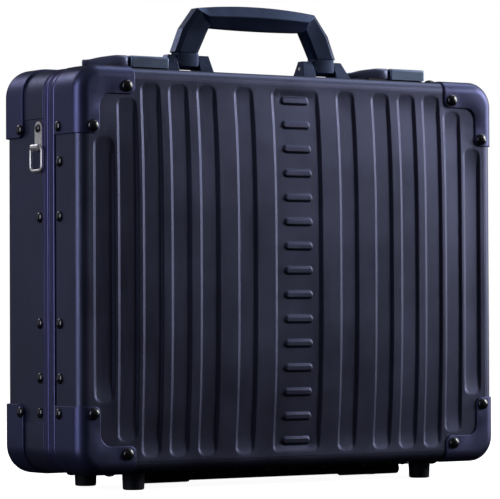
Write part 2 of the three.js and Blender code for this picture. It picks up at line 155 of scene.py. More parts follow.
def bump(mat, height, strength, distance, after=None):
    made = add(mat, "ShaderNodeBump")
    made.inputs["Strength"].default_value = strength
    made.inputs["Distance"].default_value = distance
    link(mat, height, made.inputs["Height"])
    if after:
        link(mat, after, made.inputs["Normal"])
    return made.outputs["Normal"]


def anodised(name, color, roughness):
    """Satin anodised aluminium: a fine etched grain, a drawn direction, and handling haze."""
    mat = material(name, color, roughness, 0.82, Specular_IOR_Level=0.5)
    shader = shader_of(mat)
    fine = noise(mat, coordinates(mat), 2600, 2)
    drawn = noise(mat, coordinates(mat, (1, 1, 0.02)), 900, 2)
    haze = noise(mat, coordinates(mat), 14, 5, 0.6)
    tone = tuple(c * 0.86 for c in color), tuple(min(1, c * 1.12) for c in color)
    link(mat, ramp(mat, haze, *tone), shader.inputs["Base Color"])
    mix = add(mat, "ShaderNodeMath", operation="ADD")
    link(mat, spread(mat, haze, -0.05, 0.06), mix.inputs[0])
    link(mat, spread(mat, drawn, roughness - 0.03, roughness + 0.05), mix.inputs[1])
    link(mat, mix.outputs[0], shader.inputs["Roughness"])
    grain = bump(mat, fine, 0.10, 0.0002)
    link(mat, bump(mat, drawn, 0.05, 0.0002, grain), shader.inputs["Normal"])
    return mat


def moulded(name, color, roughness, metallic=0.0):
    """Moulded or painted surface with a faint spark-eroded texture."""
    mat = material(name, color, roughness, metallic)
    shader = shader_of(mat)
    fine = noise(mat, coordinates(mat), 1800, 3)
    haze = noise(mat, coordinates(mat), 30, 4)
    tone = tuple(c * 0.85 for c in color), tuple(min(1, c * 1.15) for c in color)
    link(mat, ramp(mat, haze, *tone), shader.inputs["Base Color"])
    link(mat, spread(mat, haze, roughness - 0.05, roughness + 0.06), shader.inputs["Roughness"])
    link(mat, bump(mat, fine, 0.12, 0.0003), shader.inputs["Normal"])
    return mat


def steel(name, color, roughness):
    """Plated steel with fine scratches."""
    mat = material(name, color, roughness, 0.8)
    shader = shader_of(mat)
    scratch = noise(mat, coordinates(mat, (1, 0.08, 1)), 2200, 4, 0.7)
    link(mat, spread(mat, scratch, roughness * 0.7, roughness * 1.6), shader.inputs["Roughness"])
    link(mat, bump(mat, scratch, 0.06, 0.0002), shader.inputs["Normal"])
    return mat


def woven(name, color, light, pitch):
    """Plain-weave cloth with a thread every `pitch` millimetres."""
    mat = material(name, color, 0.9, 0.0, Sheen_Weight=0.35, Sheen_Roughness=0.5)
    shader = shader_of(mat)
    at = coordinates(mat)
    split = add(mat, "ShaderNodeSeparateXYZ")
    link(mat, at, split.inputs[0])
    waves = []
    for axis in ("X", "Z"):
        turn = add(mat, "ShaderNodeMath", operation="MULTIPLY")
        turn.inputs[1].default_value = 2 * pi / (pitch * MM)
        link(mat, split.outputs[axis], turn.inputs[0])
        wave = add(mat, "ShaderNodeMath", operation="SINE")
        link(mat, turn.outputs[0], wave.inputs[0])
        waves.append(wave.outputs[0])
    over = add(mat, "ShaderNodeMath", operation="MULTIPLY")
    link(mat, waves[0], over.inputs[0])
    link(mat, waves[1], over.inputs[1])
    fuzz = noise(mat, at, 900, 4)
    height = add(mat, "ShaderNodeMath", operation="ADD")
    link(mat, over.outputs[0], height.inputs[0])
    link(mat, fuzz, height.inputs[1])
    link(mat, ramp(mat, height.outputs[0], color, light, (0.1, 1.4)), shader.inputs["Base Color"])
    link(mat, bump(mat, height.outputs[0], 0.5, 0.0003), shader.inputs["Normal"])
    return mat


SHELL = anodised("shell_anodised", (0.083, 0.089, 0.158), 0.40)
RAIL = anodised("rail_anodised", (0.088, 0.086, 0.215), 0.36)
GUARD = anodised("guard_anodised", (0.080, 0.086, 0.190), 0.40)
GRIP = moulded("handle_moulded", (0.036, 0.053, 0.110), 0.31, 0.75)
LATCH = moulded("latch_satin", (0.15, 0.20, 0.31), 0.36, 0.75)
LEVER = moulded("lever_satin", (0.15, 0.165, 0.28), 0.36, 0.4)
DARK = moulded("black_fitting", (0.010, 0.010, 0.014), 0.45, 0.2)
RUBBER = moulded("foot_rubber", (0.014, 0.015, 0.026), 0.55)
BLACK_RIVET = material("rivet_black", (0.010, 0.010, 0.014), 0.24, 0.0, Coat_Weight=0.8, Coat_Roughness=0.12)
NICKEL = steel("nickel", (0.95, 0.93, 0.89), 0.3)
CLOTH = woven("lining_cloth", (0.018, 0.019, 0.026), (0.050, 0.052, 0.064), 0.9)
PAD_CLOTH = woven("pad_cloth", (0.030, 0.031, 0.042), (0.075, 0.077, 0.092), 1.3)


# ---------------------------------------------------------------- meshes

def finish_mesh(name, bm, mat, body, replaces=(), sharp=35):
    """Puts a mesh into the scene as one piece of a body, smooth except where its faces meet at over sharp."""
    mesh = bpy.data.meshes.new(name)
    bm.normal_update()
    bm.to_mesh(mesh)
    bm.free()
    mesh.materials.append(mat)
    mesh.shade_smooth()
    mesh.set_sharp_from_angle(angle=radians(sharp))
    made = bpy.data.objects.new(name, mesh)
    bpy.context.scene.collection.objects.link(made)
    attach(made, body)
    if replaces:
        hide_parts(*replaces)
    return made


def mesh_of(verts, faces):
    """A bmesh from vertices in metres and faces that number them."""
    bm = bmesh.new()
    made = [bm.verts.new(v) for v in verts]
    for face in faces:
        bm.faces.new([made[i] for i in face])
    return bm


def agree(bm):
    """Makes the faces of a mesh face the same way: out, if it is closed."""
    bmesh.ops.recalc_face_normals(bm, faces=bm.faces)


def add_run(verts, run):
    """Appends a run of points and returns their numbers."""
    start = len(verts)
    verts += run
    return list(range(start, len(verts)))


def bridge(bm, first, second):
    """Quads between two closed rings of vertices."""
    n = len(first)
    for k in range(n):
        bm.faces.new((first[k], first[(k + 1) % n], second[(k + 1) % n], second[k]))


def circle(segments):
    """The angles of a circle's points."""
    return [2 * pi * k / segments for k in range(segments)]


def soften(piece, width, angle, limit="ANGLE", name="edges"):
    """Rounds a piece's edges that are sharper than angle."""
    mod = piece.modifiers.new(name, "BEVEL")
    mod.width, mod.segments, mod.limit_method, mod.angle_limit = width * MM, 3, limit, radians(angle)
    mod.harden_normals = True


def strip(first, second, closed=True):
    """Quads between two runs of vertex numbers of one length."""
    n = len(first)
    count = n if closed else n - 1
    return [(first[i], first[(i + 1) % n], second[(i + 1) % n], second[i]) for i in range(count)]


def arc(cx, cz, r, start, stop, steps):
    turn = [radians(start + (stop - start) * i / steps) for i in range(steps + 1)]
    return [(cx + r * cos(a), cz + r * sin(a)) for a in turn]


def outline(inset, steps=14):
    """The case's outline as seen from the front, drawn in by inset; counter-clockwise in x and z."""
    x, z, r = HALF_W - CORNER_R, HALF_H - CORNER_R, CORNER_R - inset
    return (arc(x, z, r, 0, 90, steps) + arc(-x, z, r, 90, 180, steps)
            + arc(-x, -z, r, 180, 270, steps) + arc(x, -z, r, 270, 360, steps))


def rounded_rect(x0, x1, z0, z1, r, steps=4):
    r = min(r, (x1 - x0) / 2 - 0.01, (z1 - z0) / 2 - 0.01)
    return (arc(x1 - r, z1 - r, r, 0, 90, steps) + arc(x0 + r, z1 - r, r, 90, 180, steps)
            + arc(x0 + r, z0 + r, r, 180, 270, steps) + arc(x1 - r, z0 + r, r, 270, 360, steps))


def smooth(t):
    t = min(1.0, max(0.0, t))
    return t * t * (3 - 2 * t)


# The stamping: channels as their near edge in x and their half length, with walls that take up WALL_W
STAMP_DEPTH, STAMP_R, WALL_W = 1.8, 6.5, 3.6
FADE = 17  # a stamped form rises from the sheet over this length at its ends
CHANNEL_WIDTH = 17.8
CHANNELS = ((46.9, 163.2), (86.6, 163.2), (116.4, 163.2), (145.1, 163.2), (169.4, 149.1), (193, 114.7))
CHANNEL_TAIL = 2.5  # how far past its rectangle a channel's fading ends
LADDER_HALF, LADDER_REACH, LADDER_END = 24.5, 163, 165
BAR_HALF, BAR_HEIGHT, BAR_PITCH, BAR_COUNT = 14.6, 5.8, 21.79, 15
BAR_RISE, BAR_WALL, BARS_END = 1.7, 2.6, 170
# The face swells by CROWN in its middle; CROWN_CUT keeps the swelling off the corner guards
CROWN, CROWN_CUT = 6.5, 0.16


def crown(x, z):
    """How far the face swells out of its border's plane."""
    across = 1 - (x / (HALF_W - EDGE_R)) ** 4
    upright = 1 - abs(z / (HALF_H - EDGE_R)) ** 3
    return CROWN * max(0.0, across * upright - CROWN_CUT) / (1 - CROWN_CUT)


def finely(points, step=11):
    """A closed run of points with its long sides cut into shorter ones."""
    fine = []
    for a, b in zip(points, points[1:] + points[:1]):
        parts = max(1, round(((b[0] - a[0]) ** 2 + (b[1] - a[1]) ** 2) ** 0.5 / step))
        fine += [(a[0] + (b[0] - a[0]) * k / parts, a[1] + (b[1] - a[1]) * k / parts) for k in range(parts)]
    return fine


class Relief:
    """A flat sheet with stamped contours: points, the edges that join them, and each point's height."""

    def __init__(self):
        self.points, self.edges, self.heights = [], [], []

    def contour(self, points, height, end=None):
        """A closed line at one height, which fades to nothing towards z = end."""
        points = finely(points)
        first = len(self.points)
        self.points += points
        self.heights += [height * (smooth((end - abs(z)) / FADE) if end else 1) for _, z in points]
        self.edges += [(first + i, first + (i + 1) % len(points)) for i in range(len(points))]

    def stamp(self, x0, x1, z0, z1, r, foot, head, side, end):
        """A step round a rectangle, `head` outside it and `foot` inside, with a wall that takes up `side`."""
        for t in (1.1, 1.0, 0.88, 0.74, 0.6, 0.5, 0.4, 0.26, 0.12, 0.0, -0.1):
            out = (t - 0.5) * side
            corner = max(r + out, 0.3)
            self.contour(rounded_rect(x0 - out, x1 + out, z0 - out, z1 + out, corner, 6),
                         foot + (head - foot) * smooth(t), end)

    def fill(self):
        """The triangulated sheet, as (x, z, height) points and faces."""
        found = delaunay_2d_cdt([Vector(p) for p in self.points], self.edges, [], 1, 1e-6)
        coords, faces, origins = found[0], found[2], found[3]
        heights = [self.heights[o[0]] for o in origins]
        return [(v.x, v.y, h) for v, h in zip(coords, heights)], faces


def face_relief():
    """The stamped face: channels on either side of a sunk panel with its ladder of bars."""
    relief = Relief()
    relief.contour(outline(EDGE_R), 0)
    relief.contour(outline(EDGE_R + 0.5), 0)
    down = -STAMP_DEPTH
    for start, reach in CHANNELS:
        end = reach + CHANNEL_TAIL
        for x0 in (start, -start - CHANNEL_WIDTH):
            relief.stamp(x0, x0 + CHANNEL_WIDTH, -reach, reach, STAMP_R, down, 0, WALL_W, end)
    relief.stamp(-LADDER_HALF, LADDER_HALF, -LADDER_REACH, LADDER_REACH, STAMP_R, down, 0, WALL_W, LADDER_END)
    r = BAR_HEIGHT / 2
    for i in range(BAR_COUNT):
        z = (i - (BAR_COUNT - 1) / 2) * BAR_PITCH
        relief.stamp(-BAR_HALF, BAR_HALF, z - r, z + r, r, down + BAR_RISE, down, BAR_WALL, BARS_END)
    return relief.fill()


RELIEF = face_relief()


def build_shell(half):
    """The pressed shell: straight sides, a rolled edge, and the stamped face."""
    verts, faces, rings = [], [], []
    steps = 8
    lip = ((1.9, 0.15), (1.7, 0.9), (0.9, 1.2), (0.25, 1.5), (0, 2.1), (0, 3.2))
    rows = [(inset, -half.rail - reach) for inset, reach in lip] + [(0, EDGE_R - half.depth + 0.6)]
    for i in range(steps + 1):
        a = pi / 2 * i / steps
        rows.append((EDGE_R * (1 - cos(a)), EDGE_R * (1 - sin(a)) - half.depth))
    for inset, y in rows:
        rings.append(add_run(verts, [half.place(x, y, z) for x, z in outline(inset)]))
    for first, second in zip(rings, rings[1:]):
        faces += strip(second, first)
    start = len(verts)
    coords, triangles = RELIEF
    verts += [half.place(x, -half.depth - h - crown(x, z), z) for x, z, h in coords]
    faces += [tuple(start + i for i in reversed(face)) for face in triangles]
    bm = mesh_of(verts, faces if half.side < 0 else [face[::-1] for face in faces])
    bmesh.ops.remove_doubles(bm, verts=bm.verts, dist=0.00002)
    agree(bm)
    piece = finish_mesh(half.name + "_shell_pressed", bm, SHELL, half.name, (half.name + "_shell",))
    wall = piece.modifiers.new("sheet", "SOLIDIFY")
    wall.thickness, wall.offset = 1.1 * MM, -1


def sweep_ring(half, profile, name, mat, replaces):
    """A closed profile of (inset, y) carried round the case's outline."""
    verts, rings, faces = [], [], []
    for inset, y in profile:
        rings.append(add_run(verts, [half.place(x, y, z) for x, z in outline(inset)]))
    for first, second in zip(rings, rings[1:] + rings[:1]):
        faces += strip(first, second)
    bm = mesh_of(verts, faces)
    agree(bm)
    finish_mesh(name, bm, mat, half.name, replaces, 32)


def build_rail(half):
    """The extruded rail: a rounded bead at each edge with a shallow hollow between them."""
    w = half.rail
    profile = [(4.6, -w - 13), (3.3, -w - 13), (3.2, -w + 0.3), (0.2, -w + 0.25), (-0.6, -w + 0.45),
               (-0.95, -w + 1.0), (-0.95, -w + 1.6), (-0.7, -w + 2.2), (-0.5, -w + 2.7),
               (-0.5, -2.7), (-0.7, -2.2), (-0.95, -1.6), (-0.95, -1.0),
               (-0.6, -0.5), (-0.1, -0.3), (1.6, -0.25), (3.6, -0.2)]
    if half.name == "base":
        profile += [(4.1, -0.2), (4.2, 2.0), (4.6, 2.3), (5.8, 2.3), (6.2, 2.0), (6.3, -0.2)]
    else:
        profile += [(3.6, -2.9), (6.8, -2.9), (6.8, -0.2)]
    profile += [(8.2, -0.2), (8.6, -0.6), (8.6, -w + 0.4), (8.2, -w), (3.0, -w)]
    sweep_ring(half, profile, half.name + "_rail_extruded", RAIL, (half.name + "_rail",))


# The guard's edge, drawn for the corner at +x +z: where its arms end, and its hollow inner curve
ARM_X, ARM_Z, NOTCH_X, NOTCH_Z, NOTCH_R, TIP_R = 171, 118, 207, 153, 12, 5
SOFT_R = 6  # the rounded corner at the end of each of the base guards' arms
ROLL_STEPS = 8  # round a guard's rolled edge
SOFT = [(SOFT_R * (1 - cos(a)), SOFT_R * (1 - sin(a))) for a in (radians(22.5 * k) for k in range(5))]


def corner_path(inset, arm_x=ARM_X, arm_z=ARM_Z):
    """From the top arm's end, round the corner, to the side arm's end."""
    cx, cz, r = HALF_W - CORNER_R, HALF_H - CORNER_R, CORNER_R - inset
    top = [(arm_x + along, HALF_H - inset) for along, _ in SOFT]
    side = [(HALF_W - inset, arm_z + along) for along, _ in reversed(SOFT)]
    return top + arc(cx, cz, r, 90, 0, 12) + side


def guard_edge():
    """The edge on the face, from the side arm's end back to the top arm's end."""
    x, z, r, t = NOTCH_X, NOTCH_Z, NOTCH_R, TIP_R
    face_x, face_z = HALF_W - EDGE_R, HALF_H - EDGE_R
    return ([(face_x, ARM_Z)] + arc(x + t, ARM_Z + t, t, 270, 180, 5) + arc(x - r, z - r, r, 0, 90, 8)
            + arc(ARM_X + t, z + t, t, 270, 180, 5) + [(ARM_X, face_z)])


def offset_path(path, amount):
    """Moves each point of an open path sideways, to the right of its direction."""
    moved = []
    for i, (x, z) in enumerate(path):
        ax, az = path[max(0, i - 1)]
        bx, bz = path[min(len(path) - 1, i + 1)]
        d = Vector((bx - ax, bz - az)).normalized()
        moved.append((x + d.y * amount, z - d.x * amount))
    return moved


def guard_rows(half, start):
    """The guard's section as (inset, y): down its side wall and round the rolled edge."""
    rows = [(-half.proud, start), (-half.proud, start - 0.8), (-half.proud, EDGE_R - half.depth + 0.8)]
    radius = EDGE_R + half.proud
    for i in range(ROLL_STEPS + 1):
        a = pi / 2 * (1 - i / ROLL_STEPS)
        rows.append((EDGE_R - radius * sin(a), EDGE_R - half.depth - radius * cos(a)))
    return rows


def add_arm_rims(verts, faces, rows, rim, back):
    """The rims across the ends of a guard's two arms, which roll down to the shell."""
    tops, sides = [], []
    for out, drop in rim:
        top, side = [], []
        for k, (inset, y) in enumerate(rows):
            a = 0 if k < 3 else pi / 2 * (k - 3) / ROLL_STEPS
            y -= back if k < 2 else 0
            down, dy = cos(a) * drop, sin(a) * drop
            top.append((ARM_X - out, y + dy, HALF_H - inset - down))
            side.append((HALF_W - inset - down, y + dy, ARM_Z - out))
        tops.append(top)
        sides.append(side)
    add_runs(verts, faces, tops)
    add_runs(verts, faces, sides)


def add_plate(verts, faces, edge, y):
    """The L-shaped plate on the face, inside the rolled edge and the guard's own edge."""
    relief = Relief()
    relief.contour(corner_path(EDGE_R) + edge[1:-1], 0)
    coords, triangles = relief.fill()
    start = len(verts)
    verts += [(x, y, z) for x, z, _ in coords]
    faces += [tuple(start + i for i in face) for face in triangles]


def build_guard(half, corner, sx, sz):
    """A corner guard: side walls, rolled edge, the L-shaped face plate, and a rolled rim all round."""
    base = half.name == "base"
    start = half.guard_reach - half.depth if base else -half.rail - 1.5
    plate_y = -half.depth - half.proud
    rows = guard_rows(half, start)
    soft = [back for _, back in SOFT] if base else [0] * len(SOFT)
    drawn_in = soft + [0] * (len(corner_path(0)) - 2 * len(soft)) + soft[::-1]
    walls = []
    for k, (inset, y) in enumerate(rows):
        path = corner_path(inset)
        walls.append([(x, y - (back if k < 2 else 0), z) for (x, z), back in zip(path, drawn_in)])
    verts, faces = [], []
    add_runs(verts, faces, walls)
    edge = guard_edge()
    add_plate(verts, faces, edge, plate_y)
    rim = ((0.0, 0.0), (0.28, 0.08), (0.5, 0.3), (0.58, 0.62), (0.58, half.proud + 0.15))
    add_runs(verts, faces, [[(x, plate_y + drop, z) for x, z in offset_path(edge, -out)]
                            for out, drop in rim])
    add_arm_rims(verts, faces, rows, rim, soft[0])
    if base:
        runs = []
        for out, drop in rim:
            path = corner_path(drop - half.proud)
            runs.append([(x, start + out - back, z) for (x, z), back in zip(path, drawn_in)])
        add_runs(verts, faces, runs)
    node = "%s_guard_%s" % (half.name, corner)
    finish_corner(half, sx, sz, verts, faces, node + "_cover", GUARD, node)


def add_runs(verts, faces, runs):
    """Quads between open runs of points, each run next to the one before."""
    index = [add_run(verts, run) for run in runs]
    for first, second in zip(index, index[1:]):
        faces += strip(first, second, closed=False)


def finish_corner(half, sx, sz, verts, faces, name, mat, node):
    """A corner piece drawn for +x +z, put at its own corner and turned face outwards."""
    bm = mesh_of([half.place(x * sx, y, z * sz) for x, y, z in verts], faces)
    bmesh.ops.remove_doubles(bm, verts=bm.verts, dist=0.00003)
    agree(bm)
    bm.normal_update()
    inside = Vector(half.place(sx * 180, -20, sz * 130))
    if sum(f.normal.dot(f.calc_center_median() - inside) * f.calc_area() for f in bm.faces) < 0:
        bmesh.ops.reverse_faces(bm, faces=bm.faces)
    finish_mesh(name, bm, mat, half.name, (node,), 40)


def build_cover(corner, sx, sz):
    """The thinner corner cover between the base's guard and its rail."""
    half, leg, proud, lip = BASE, 43, 0.85, 0.4
    start, stop = -half.rail - 0.3, half.guard_reach - half.depth - 0.1
    rows = [(0, start + 0.05), (-proud * 0.7, start), (-proud, start - 0.3), (-proud, stop + 0.2), (0, stop)]
    paths = [corner_path(inset, HALF_W - leg, HALF_H - leg) for inset, _ in rows]
    verts, faces = [], []
    add_runs(verts, faces, [[(x, y, z) for x, z in path] for path, (_, y) in zip(paths, rows)])
    top = [(path[0], y) for path, (_, y) in zip(paths, rows)]
    side = [(path[-1], y) for path, (_, y) in zip(paths, rows)]
    add_runs(verts, faces, [[(x, y, z) for (x, z), y in top], [(x - lip, y, HALF_H) for (x, _), y in top]])
    add_runs(verts, faces, [[(x, y, z) for (x, z), y in side], [(HALF_W, y, z - lip) for (_, z), y in side]])
    finish_corner(half, sx, sz, verts, faces, "base_cover_" + corner, SHELL, "base_corner_cover_" + corner)


def dome(bm, centre, normal, radius, height, segments=20):
    """A rivet head with a small flat skirt, standing on centre (mm) along normal."""
    skirt = 0.25
    profile = [(1, -0.5), (1, skirt)]
    profile += [(cos(a), skirt + sin(a) * (height - skirt)) for a in (pi / 2 * k / 7 for k in range(1, 7))]
    turn = Vector((0, 0, 1)).rotation_difference(Vector(normal)).to_matrix()
    rings = []
    for r, lift in profile:
        points = [turn @ Vector((cos(a) * r * radius, sin(a) * r * radius, lift)) for a in circle(segments)]
        rings.append([bm.verts.new((Vector(centre) + point) * MM) for point in points])
    top = bm.verts.new((Vector(centre) + turn @ Vector((0, 0, height))) * MM)
    for first, second in zip(rings, rings[1:]):
        bridge(bm, first, second)
    for k in range(segments):
        bm.faces.new((rings[-1][k], rings[-1][(k + 1) % segments], top))


# Rivets: radius and height of each kind, and where they sit on the guards
FACE_RIVET, GUARD_RIVET, ROW_RIVET = (5.3, 3.2), (4.9, 2.8), (4.8, 2.8)
TAB_RIVET, HINGE_RIVET = (3.9, 2.3), (1.7, 1.0)
FACE_RIVETS = ((178.6, 159.4), (213, 123.9))
SIDE_RIVET_Z, TOP_RIVET_X = 124.4, 177.5


def build_rivets(half):
    """The black rivets of a half: on its corner guards, and in a row down each side."""
    bm = bmesh.new()

    def rivet(x, y, z, normal, size):
        dome(bm, [c / MM for c in half.place(x, y, z)], normal, *size)

    for _, sx, sz in CORNERS:
        for x, z in FACE_RIVETS:
            rivet(sx * x, -half.depth - half.proud, sz * z, (0, -half.side, 0), FACE_RIVET)
        rivet(sx * (HALF_W + half.proud), half.guard_row_y, sz * SIDE_RIVET_Z, (sx, 0, 0), GUARD_RIVET)
        rivet(sx * TOP_RIVET_X, half.guard_row_y, sz * (HALF_H + half.proud), (0, 0, sz), GUARD_RIVET)
    for sx in (-1, 1):
        for z in half.rivets:
            rivet(sx * HALF_W, half.row_y, z, (sx, 0, 0), ROW_RIVET)
    finish_mesh(half.name + "_rivets", bm, BLACK_RIVET, half.name, (), 50)


def cad_shape(node):
    """A CAD node's own shape with its flat facets joined."""
    bm = bmesh.new()
    bm.from_mesh(NODES[node].data)
    bmesh.ops.remove_doubles(bm, verts=bm.verts, dist=0.00001)
    bmesh.ops.dissolve_limit(bm, angle_limit=radians(1.5), verts=bm.verts, edges=bm.edges)
    return bm


def bevelled(node, body, mat, width):
    """A CAD node's own shape with its edges rounded."""
    soften(finish_mesh(node + "_finished", cad_shape(node), mat, body, (node,), 40), width, 28)


# ---------------------------------------------------------------- fittings

def handle_section(outer, inner, depths, ridges, middle_y):
    """The handle's eight-cornered section, from its outer and inner edge, with a flat between the ridges."""
    o, i = Vector(outer), Vector(inner)
    points = (o, o.lerp(i, ridges[0]), o.lerp(i, ridges[1]), i)
    y = (depths[0], depths[1], depths[1], depths[2])
    front = [(p.x, middle_y - d, p.y) for p, d in zip(points, y)]
    return front + [(x, 2 * middle_y - front_y, z) for x, front_y, z in reversed(front)]


def build_handle():
    """A faceted carrying handle: two splayed legs and a crowned grip, with eyes for the pivot pins."""
    low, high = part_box("handle")
    y = (low.y + high.y) / 2 / MM
    z0 = CENTRE_Z + HALF_H
    pivot = z0 + 12
    # Up one half: the outer and inner edge in x and z, the half depths, and where the ridges lie
    leg, bar = (0.17, 0.86), (0.45, 0.49)
    stations = [((86.5, pivot - 3.2), (64.3, pivot - 3.2), (6.2, 6.5, 6.2), leg),
                ((86.5, z0 + 20.9), (64.3, z0 + 20.9), (5.6, 6.5, 5.6), leg),
                ((89.0, z0 + 21.7), (64.2, z0 + 21.3), (4.6, 6.8, 4.6), leg),
                ((80.4, z0 + 43), (56.0, z0 + 37.4), (4.6, 7.4, 4.4), leg),
                ((65.2, z0 + 62.2), (52.0, z0 + 45.4), (4.8, 8.0, 4.6), leg),
                ((60.0, z0 + 62.8), (49.2, z0 + 45.2), (5.0, 10.4, 6.4), bar)]
    half = [handle_section(*station, y) for station in stations]
    span = []
    for i in range(1, 16):
        u = 1 - i / 8
        bulge = 1 - u * u
        outer, inner = (60.0 * u, z0 + 62.8 + 3.2 * bulge), (49.2 * u, z0 + 45.2 - 0.8 * bulge)
        span.append(handle_section(outer, inner, (5.0, 10.4 + 0.6 * bulge, 6.4), bar, y))
    rings = half + span + [[(-px, py, pz) for px, py, pz in ring] for ring in reversed(half)]
    soften(finish_mesh("handle_grip", loft(rings), GRIP, "handle", ("handle",), 12), 0.8, 16)
    bm = bmesh.new()
    for sx in (-1, 1):
        eye(bm, sx * 64.8, sx * 86, y, pivot, 6.3)
    finish_mesh("handle_eyes", bm, GRIP, "handle", (), 40)


def loft(rings):
    """A closed form through rings of points in millimetres, capped at both ends."""
    n = len(rings[0])
    verts, faces = [], []
    index = [add_run(verts, [tuple(c * MM for c in point) for point in ring]) for ring in rings]
    for first, second in zip(index, index[1:]):
        faces += strip(first, second)
    faces += [tuple(index[0]), tuple(range(n * (len(rings) - 1), n * len(rings)))]
    bm = mesh_of(verts, faces)
    agree(bm)
    return bm


def eye(bm, x0, x1, y, z, radius, segments=28):
    """The round boss at a leg's foot that takes the pin: a rod from x0 to x1 with its rims broken."""
    length, edge = abs(x1 - x0), 0.35
    turn = Vector((0, 0, 1)).rotation_difference(Vector((x1 - x0, 0, 0)).normalized()).to_matrix()
    profile = [(radius - edge, 0), (radius, edge), (radius, length - edge), (radius - edge, length)]
    rings = []
    for r, h in profile:
        points = [turn @ Vector((cos(t) * r, sin(t) * r, h)) for t in circle(segments)]
        rings.append([bm.verts.new((Vector((x0, y, z)) + point) * MM) for point in points])
    for first, second in zip(rings, rings[1:]):
        bridge(bm, first, second)
    bm.faces.new(rings[0][::-1])
    bm.faces.new(rings[-1])


def lever_section(x, front, rear, bottom, crest, bevel):
    """The lever's section at x: a rolled front edge, whose size is bevel, and small breaks elsewhere."""
    ring = [(front + 0.3, bottom), (front, bottom + 0.4), (front, crest - 2.6 * bevel),
            (front + 0.3, crest - 1.9 * bevel), (front + 1.9 * bevel, crest - 0.4 * bevel),
            (front + 2.9 * bevel, crest), (rear - 1.6, crest), (rear - 0.6, crest - 0.5),
            (rear, crest - 1.6), (rear, bottom + 0.4), (rear - 0.4, bottom)]
    return [(x, y, z) for y, z in ring]


def build_lever(where):
    """The latch lever: a wedge that swells forward towards its square end, with a rolled top edge."""
    node = "latch_lever_" + where
    low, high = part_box(node)
    bottom, top, back, length = low.z / MM, high.z / MM, high.y / MM, (high.x - low.x) / MM
    rows, steps = [], 24
    for i in range(steps + 1):
        u = i / steps
        front = 0.5 - 15.0 * smooth(u / 0.84) + 2.2 * max(0, (u - 0.88) / 0.12) ** 2
        rear = back - 5 * (1 - smooth(u / 0.5))
        crest = top - 4.508 * (1 - smooth(u / 0.75))
        bevel = 0.35 + 0.65 * smooth(u / 0.6)
        rows.append(lever_section(low.x / MM + u * length, front, rear, bottom, crest, bevel))
    end = rows[-1]
    for out, draw in ((0.3, 0.35), (0.5, 1.0)):
        rows.append([(x + out, y + (draw if y < 0 else -draw), z - (draw * 0.4 if z > bottom + 3 else 0))
                     for x, y, z in end])
    finish_mesh(node + "_wing", loft(rows), LEVER, node, (node,), 38)


def build_housing(where):
    """The lock's fixed cover: a broad bevel along its front, softer ones at the ends, and crisp slots."""
    node = "latch_housing_" + where
    low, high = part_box(node)
    bm = cad_shape(node)
    weight = bm.edges.layers.float.new("bevel_weight_edge")

    def lies_at(edge, axis, level):
        return all(abs(vert.co[axis] - level) < 0.0001 for vert in edge.verts)

    for edge in bm.edges:
        front, back, crest = lies_at(edge, 1, low.y), lies_at(edge, 1, high.y), lies_at(edge, 2, high.z)
        end = lies_at(edge, 0, low.x) or lies_at(edge, 0, high.x)
        soft = (end and (front or back)) or (crest and (end or back))
        edge[weight] = 1.0 if front and crest else 0.6 if soft else 0
    piece = finish_mesh(node + "_cover", bm, LATCH, "base", (node,), 40)
    soften(piece, 1.9, 50, "WEIGHT", "front")
    soften(piece, 0.25, 50)


def build_dial(where, number):
    """A number wheel with a finger notch between every two of its ten figures."""
    node = "dial_%s_%d" % (where, number)
    low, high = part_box(node)
    centre = (low + high) / 2 / MM
    half, radius, bore, edge = (high.x - low.x) / 2 / MM, 5.2, 1.35, 0.45
    points = 80
    notches = [0.55 if k % 8 == 4 else 0.3 if k % 8 in (3, 5) else 0 for k in range(points)]
    outside = [[radius - cut - notch for notch in notches] for cut in (edge, 0, 0, edge)]
    inside = [[bore] * points] * 2
    bm = bmesh.new()
    rings = []
    for x, radii in zip((-half, edge - half, half - edge, half, half - 0.3, 0.3 - half), outside + inside):
        angles = [2 * pi * (k - 4) / points + pi / 10 for k in range(points)]
        rings.append([bm.verts.new(Vector((centre.x + x, centre.y + r * cos(a), centre.z + r * sin(a))) * MM)
                      for r, a in zip(radii, angles)])
    for first, second in zip(rings, rings[1:] + rings[:1]):
        bridge(bm, first, second)
    agree(bm)
    finish_mesh(node + "_wheel", bm, DARK, node, (node,), 30)


def build_hinge_rivets(half):
    """Small bright rivets along a hinge leaf, seen from below."""
    bm = bmesh.new()
    reach, z = 24.8, CENTRE_Z - HALF_H - 2.4
    for x in (-138.5, -94, -48, -14.5, 14.5, 48, 94, 138.5):
        dome(bm, (x, PART_Y - half.side * reach, z), (0, 0, -1), *HINGE_RIVET, 14)
    finish_mesh(half.name + "_hinge_rivets", bm, NICKEL, half.name, (), 50)


def build_ring(where):
    """A wire ring hanging in the loop of its tab."""
    node = "strap_ring_" + where
    low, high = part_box(node)
    wire, bend = 1.4, 4.2
    x = (low.x + high.x) / 2 / MM
    path = rounded_rect(low.y / MM + wire, high.y / MM - wire, low.z / MM + wire, high.z / MM - wire, bend, 7)
    across = Vector((1, 0, 0))
    bm = bmesh.new()
    rings = []
    for i, (y, z) in enumerate(path):
        ahead, behind = path[(i + 1) % len(path)], path[i - 1]
        along = Vector((0, ahead[0] - behind[0], ahead[1] - behind[1])).normalized()
        up = along.cross(across)
        rings.append([bm.verts.new((Vector((x, y, z)) + across * cos(t) * wire + up * sin(t) * wire) * MM)
                      for t in circle(12)])
    for first, second in zip(rings, rings[1:] + rings[:1]):
        bridge(bm, first, second)
    agree(bm)
    finish_mesh(node + "_wire", bm, NICKEL, node, (node,), 60)


